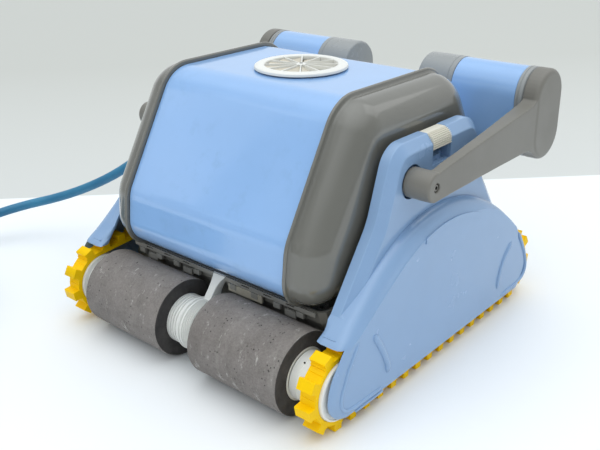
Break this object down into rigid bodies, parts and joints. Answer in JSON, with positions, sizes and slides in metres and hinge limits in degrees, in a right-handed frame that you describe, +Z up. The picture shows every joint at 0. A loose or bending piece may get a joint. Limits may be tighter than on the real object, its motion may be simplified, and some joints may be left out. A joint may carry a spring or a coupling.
{
  "type": "robotic pool cleaner",
  "caption": "Tracked robotic pool cleaner with a domed body, top water outlet, soft roller brushes, side covers, a float handle and a floating cable.",
  "frame": {"origin": "on the floor under the middle of the machine, without its cable", "axes": "+Z up, +X to the machine's right side, -Y its front (the side opposite the handle's rest position)"},
  "size_m": [0.8125, 0.8255, 0.3245],
  "materials": {
    "blue_abs": "glossy moulded plastic",
    "grey_abs": "glossy moulded plastic",
    "arm_grey": "satin moulded plastic",
    "white_plastic": "satin moulded plastic",
    "beige_plastic": "satin moulded plastic",
    "dark_foam": "porous sponge",
    "yellow_rubber": "matt moulded rubber",
    "dark_plastic": "satin",
    "tray_grey": "matt moulded plastic",
    "steel": "turned",
    "filter_mesh": "fine moulded mesh",
    "cable_blue": "matt floating cable jacket"
  },
  "bodies": {
    "chassis": {"base_frame": "tray_grey", "body_shell": "blue_abs", "bottom_lid": "tray_grey", "cable": "cable_blue", "cable_coil": "cable_blue", "cable_connector": "dark_plastic", "cable_gland": "dark_plastic", "filter_cartridge": "filter_mesh", "filter_frame": "white_plastic", "front_roller_support": "white_plastic", "impeller_duct": "white_plastic", "left_drive_motor": "dark_plastic", "left_end_cap": "grey_abs", "left_pivot_screw": "steel", "left_side_panel": "blue_abs", "left_track": "yellow_rubber", "outlet_grille": "white_plastic", "pump_motor": "dark_plastic", "rear_roller_support": "white_plastic", "right_drive_motor": "dark_plastic", "right_end_cap": "grey_abs", "right_pivot_screw": "steel", "right_side_panel": "blue_abs", "right_track": "yellow_rubber", "strain_relief": "dark_plastic"},
    "handle": {"handle_grip_bar": "arm_grey", "left_float": "blue_abs", "left_float_cap": "grey_abs", "left_float_collar": "grey_abs", "left_handle_arm": "arm_grey", "right_float": "blue_abs", "right_float_cap": "grey_abs", "right_float_collar": "grey_abs", "right_handle_arm": "arm_grey"},
    "impeller": {"impeller": "dark_plastic", "impeller_shaft": "steel"},
    "left_latch": {"left_latch_slider": "beige_plastic"},
    "front_left_roller": {"front_left_track_wheel": "white_plastic", "front_left_brush_tube": "white_plastic", "front_left_foam_roll": "dark_foam"},
    "rear_left_roller": {"rear_left_track_wheel": "white_plastic", "rear_left_brush_tube": "white_plastic", "rear_left_foam_roll": "dark_foam"},
    "left_drive": {"left_drive_pulley": "white_plastic", "left_drive_shaft": "steel"},
    "right_latch": {"right_latch_slider": "beige_plastic"},
    "front_right_roller": {"front_right_track_wheel": "white_plastic", "front_right_brush_tube": "white_plastic", "front_right_foam_roll": "dark_foam"},
    "rear_right_roller": {"rear_right_track_wheel": "white_plastic", "rear_right_brush_tube": "white_plastic", "rear_right_foam_roll": "dark_foam"},
    "right_drive": {"right_drive_pulley": "white_plastic", "right_drive_shaft": "steel"},
    "front_lid_latch": {"front_lid_latch": "dark_plastic"},
    "front_flap": {"front_inlet_flap": "dark_plastic"},
    "rear_lid_latch": {"rear_lid_latch": "dark_plastic"},
    "rear_flap": {"rear_inlet_flap": "dark_plastic"}
  },
  "joints": [
    {"name": "handle_pivot", "type": "hinge", "parent": "chassis", "child": "handle", "pos_m": [0, -0.055, 0.2355], "axis": [1, 0, 0], "range_deg": [0, 150]},
    {"name": "impeller_spin", "type": "hinge", "parent": "chassis", "child": "impeller", "pos_m": [0, 0, 0.284], "axis": [0, 0, 1], "continuous": true},
    {"name": "left_latch_slide", "type": "slide", "parent": "chassis", "child": "left_latch", "axis": [0, 0, -1], "range_m": [0, 0.011], "stiffness_N_per_m": 250},
    {"name": "front_left_roller_spin", "type": "hinge", "parent": "chassis", "child": "front_left_roller", "pos_m": [-0.12, -0.1845, 0.0485], "axis": [1, 0, 0], "continuous": true},
    {"name": "rear_left_roller_spin", "type": "hinge", "parent": "chassis", "child": "rear_left_roller", "pos_m": [-0.12, 0.1845, 0.0485], "axis": [1, 0, 0], "continuous": true},
    {"name": "left_drive_spin", "type": "hinge", "parent": "chassis", "child": "left_drive", "pos_m": [-0.18, 0, 0.062], "axis": [1, 0, 0], "continuous": true},
    {"name": "right_latch_slide", "type": "slide", "parent": "chassis", "child": "right_latch", "axis": [0, 0, -1], "range_m": [0, 0.011], "stiffness_N_per_m": 250},
    {"name": "front_right_roller_spin", "type": "hinge", "parent": "chassis", "child": "front_right_roller", "pos_m": [0.12, -0.1845, 0.0485], "axis": [1, 0, 0], "continuous": true},
    {"name": "rear_right_roller_spin", "type": "hinge", "parent": "chassis", "child": "rear_right_roller", "pos_m": [0.12, 0.1845, 0.0485], "axis": [1, 0, 0], "continuous": true},
    {"name": "right_drive_spin", "type": "hinge", "parent": "chassis", "child": "right_drive", "pos_m": [0.18, 0, 0.062], "axis": [1, 0, 0], "continuous": true},
    {"name": "front_lid_latch_slide", "type": "slide", "parent": "chassis", "child": "front_lid_latch", "axis": [0, 1, 0], "range_m": [0, 0.009], "stiffness_N_per_m": 250},
    {"name": "front_flap_hinge", "type": "hinge", "parent": "chassis", "child": "front_flap", "pos_m": [0, -0.04, 0.029], "axis": [-1, 0, 0], "range_deg": [0, 60]},
    {"name": "rear_lid_latch_slide", "type": "slide", "parent": "chassis", "child": "rear_lid_latch", "axis": [0, -1, 0], "range_m": [0, 0.009], "stiffness_N_per_m": 250},
    {"name": "rear_flap_hinge", "type": "hinge", "parent": "chassis", "child": "rear_flap", "pos_m": [0, 0.04, 0.029], "axis": [1, 0, 0], "range_deg": [0, 60]}
  ],
  "couplings": [
    {"joint": "rear_left_roller_spin", "follows": "front_left_roller_spin", "ratio": 1},
    {"joint": "left_drive_spin", "follows": "front_left_roller_spin", "ratio": 1},
    {"joint": "rear_right_roller_spin", "follows": "front_right_roller_spin", "ratio": 1},
    {"joint": "right_drive_spin", "follows": "front_right_roller_spin", "ratio": 1}
  ]
}
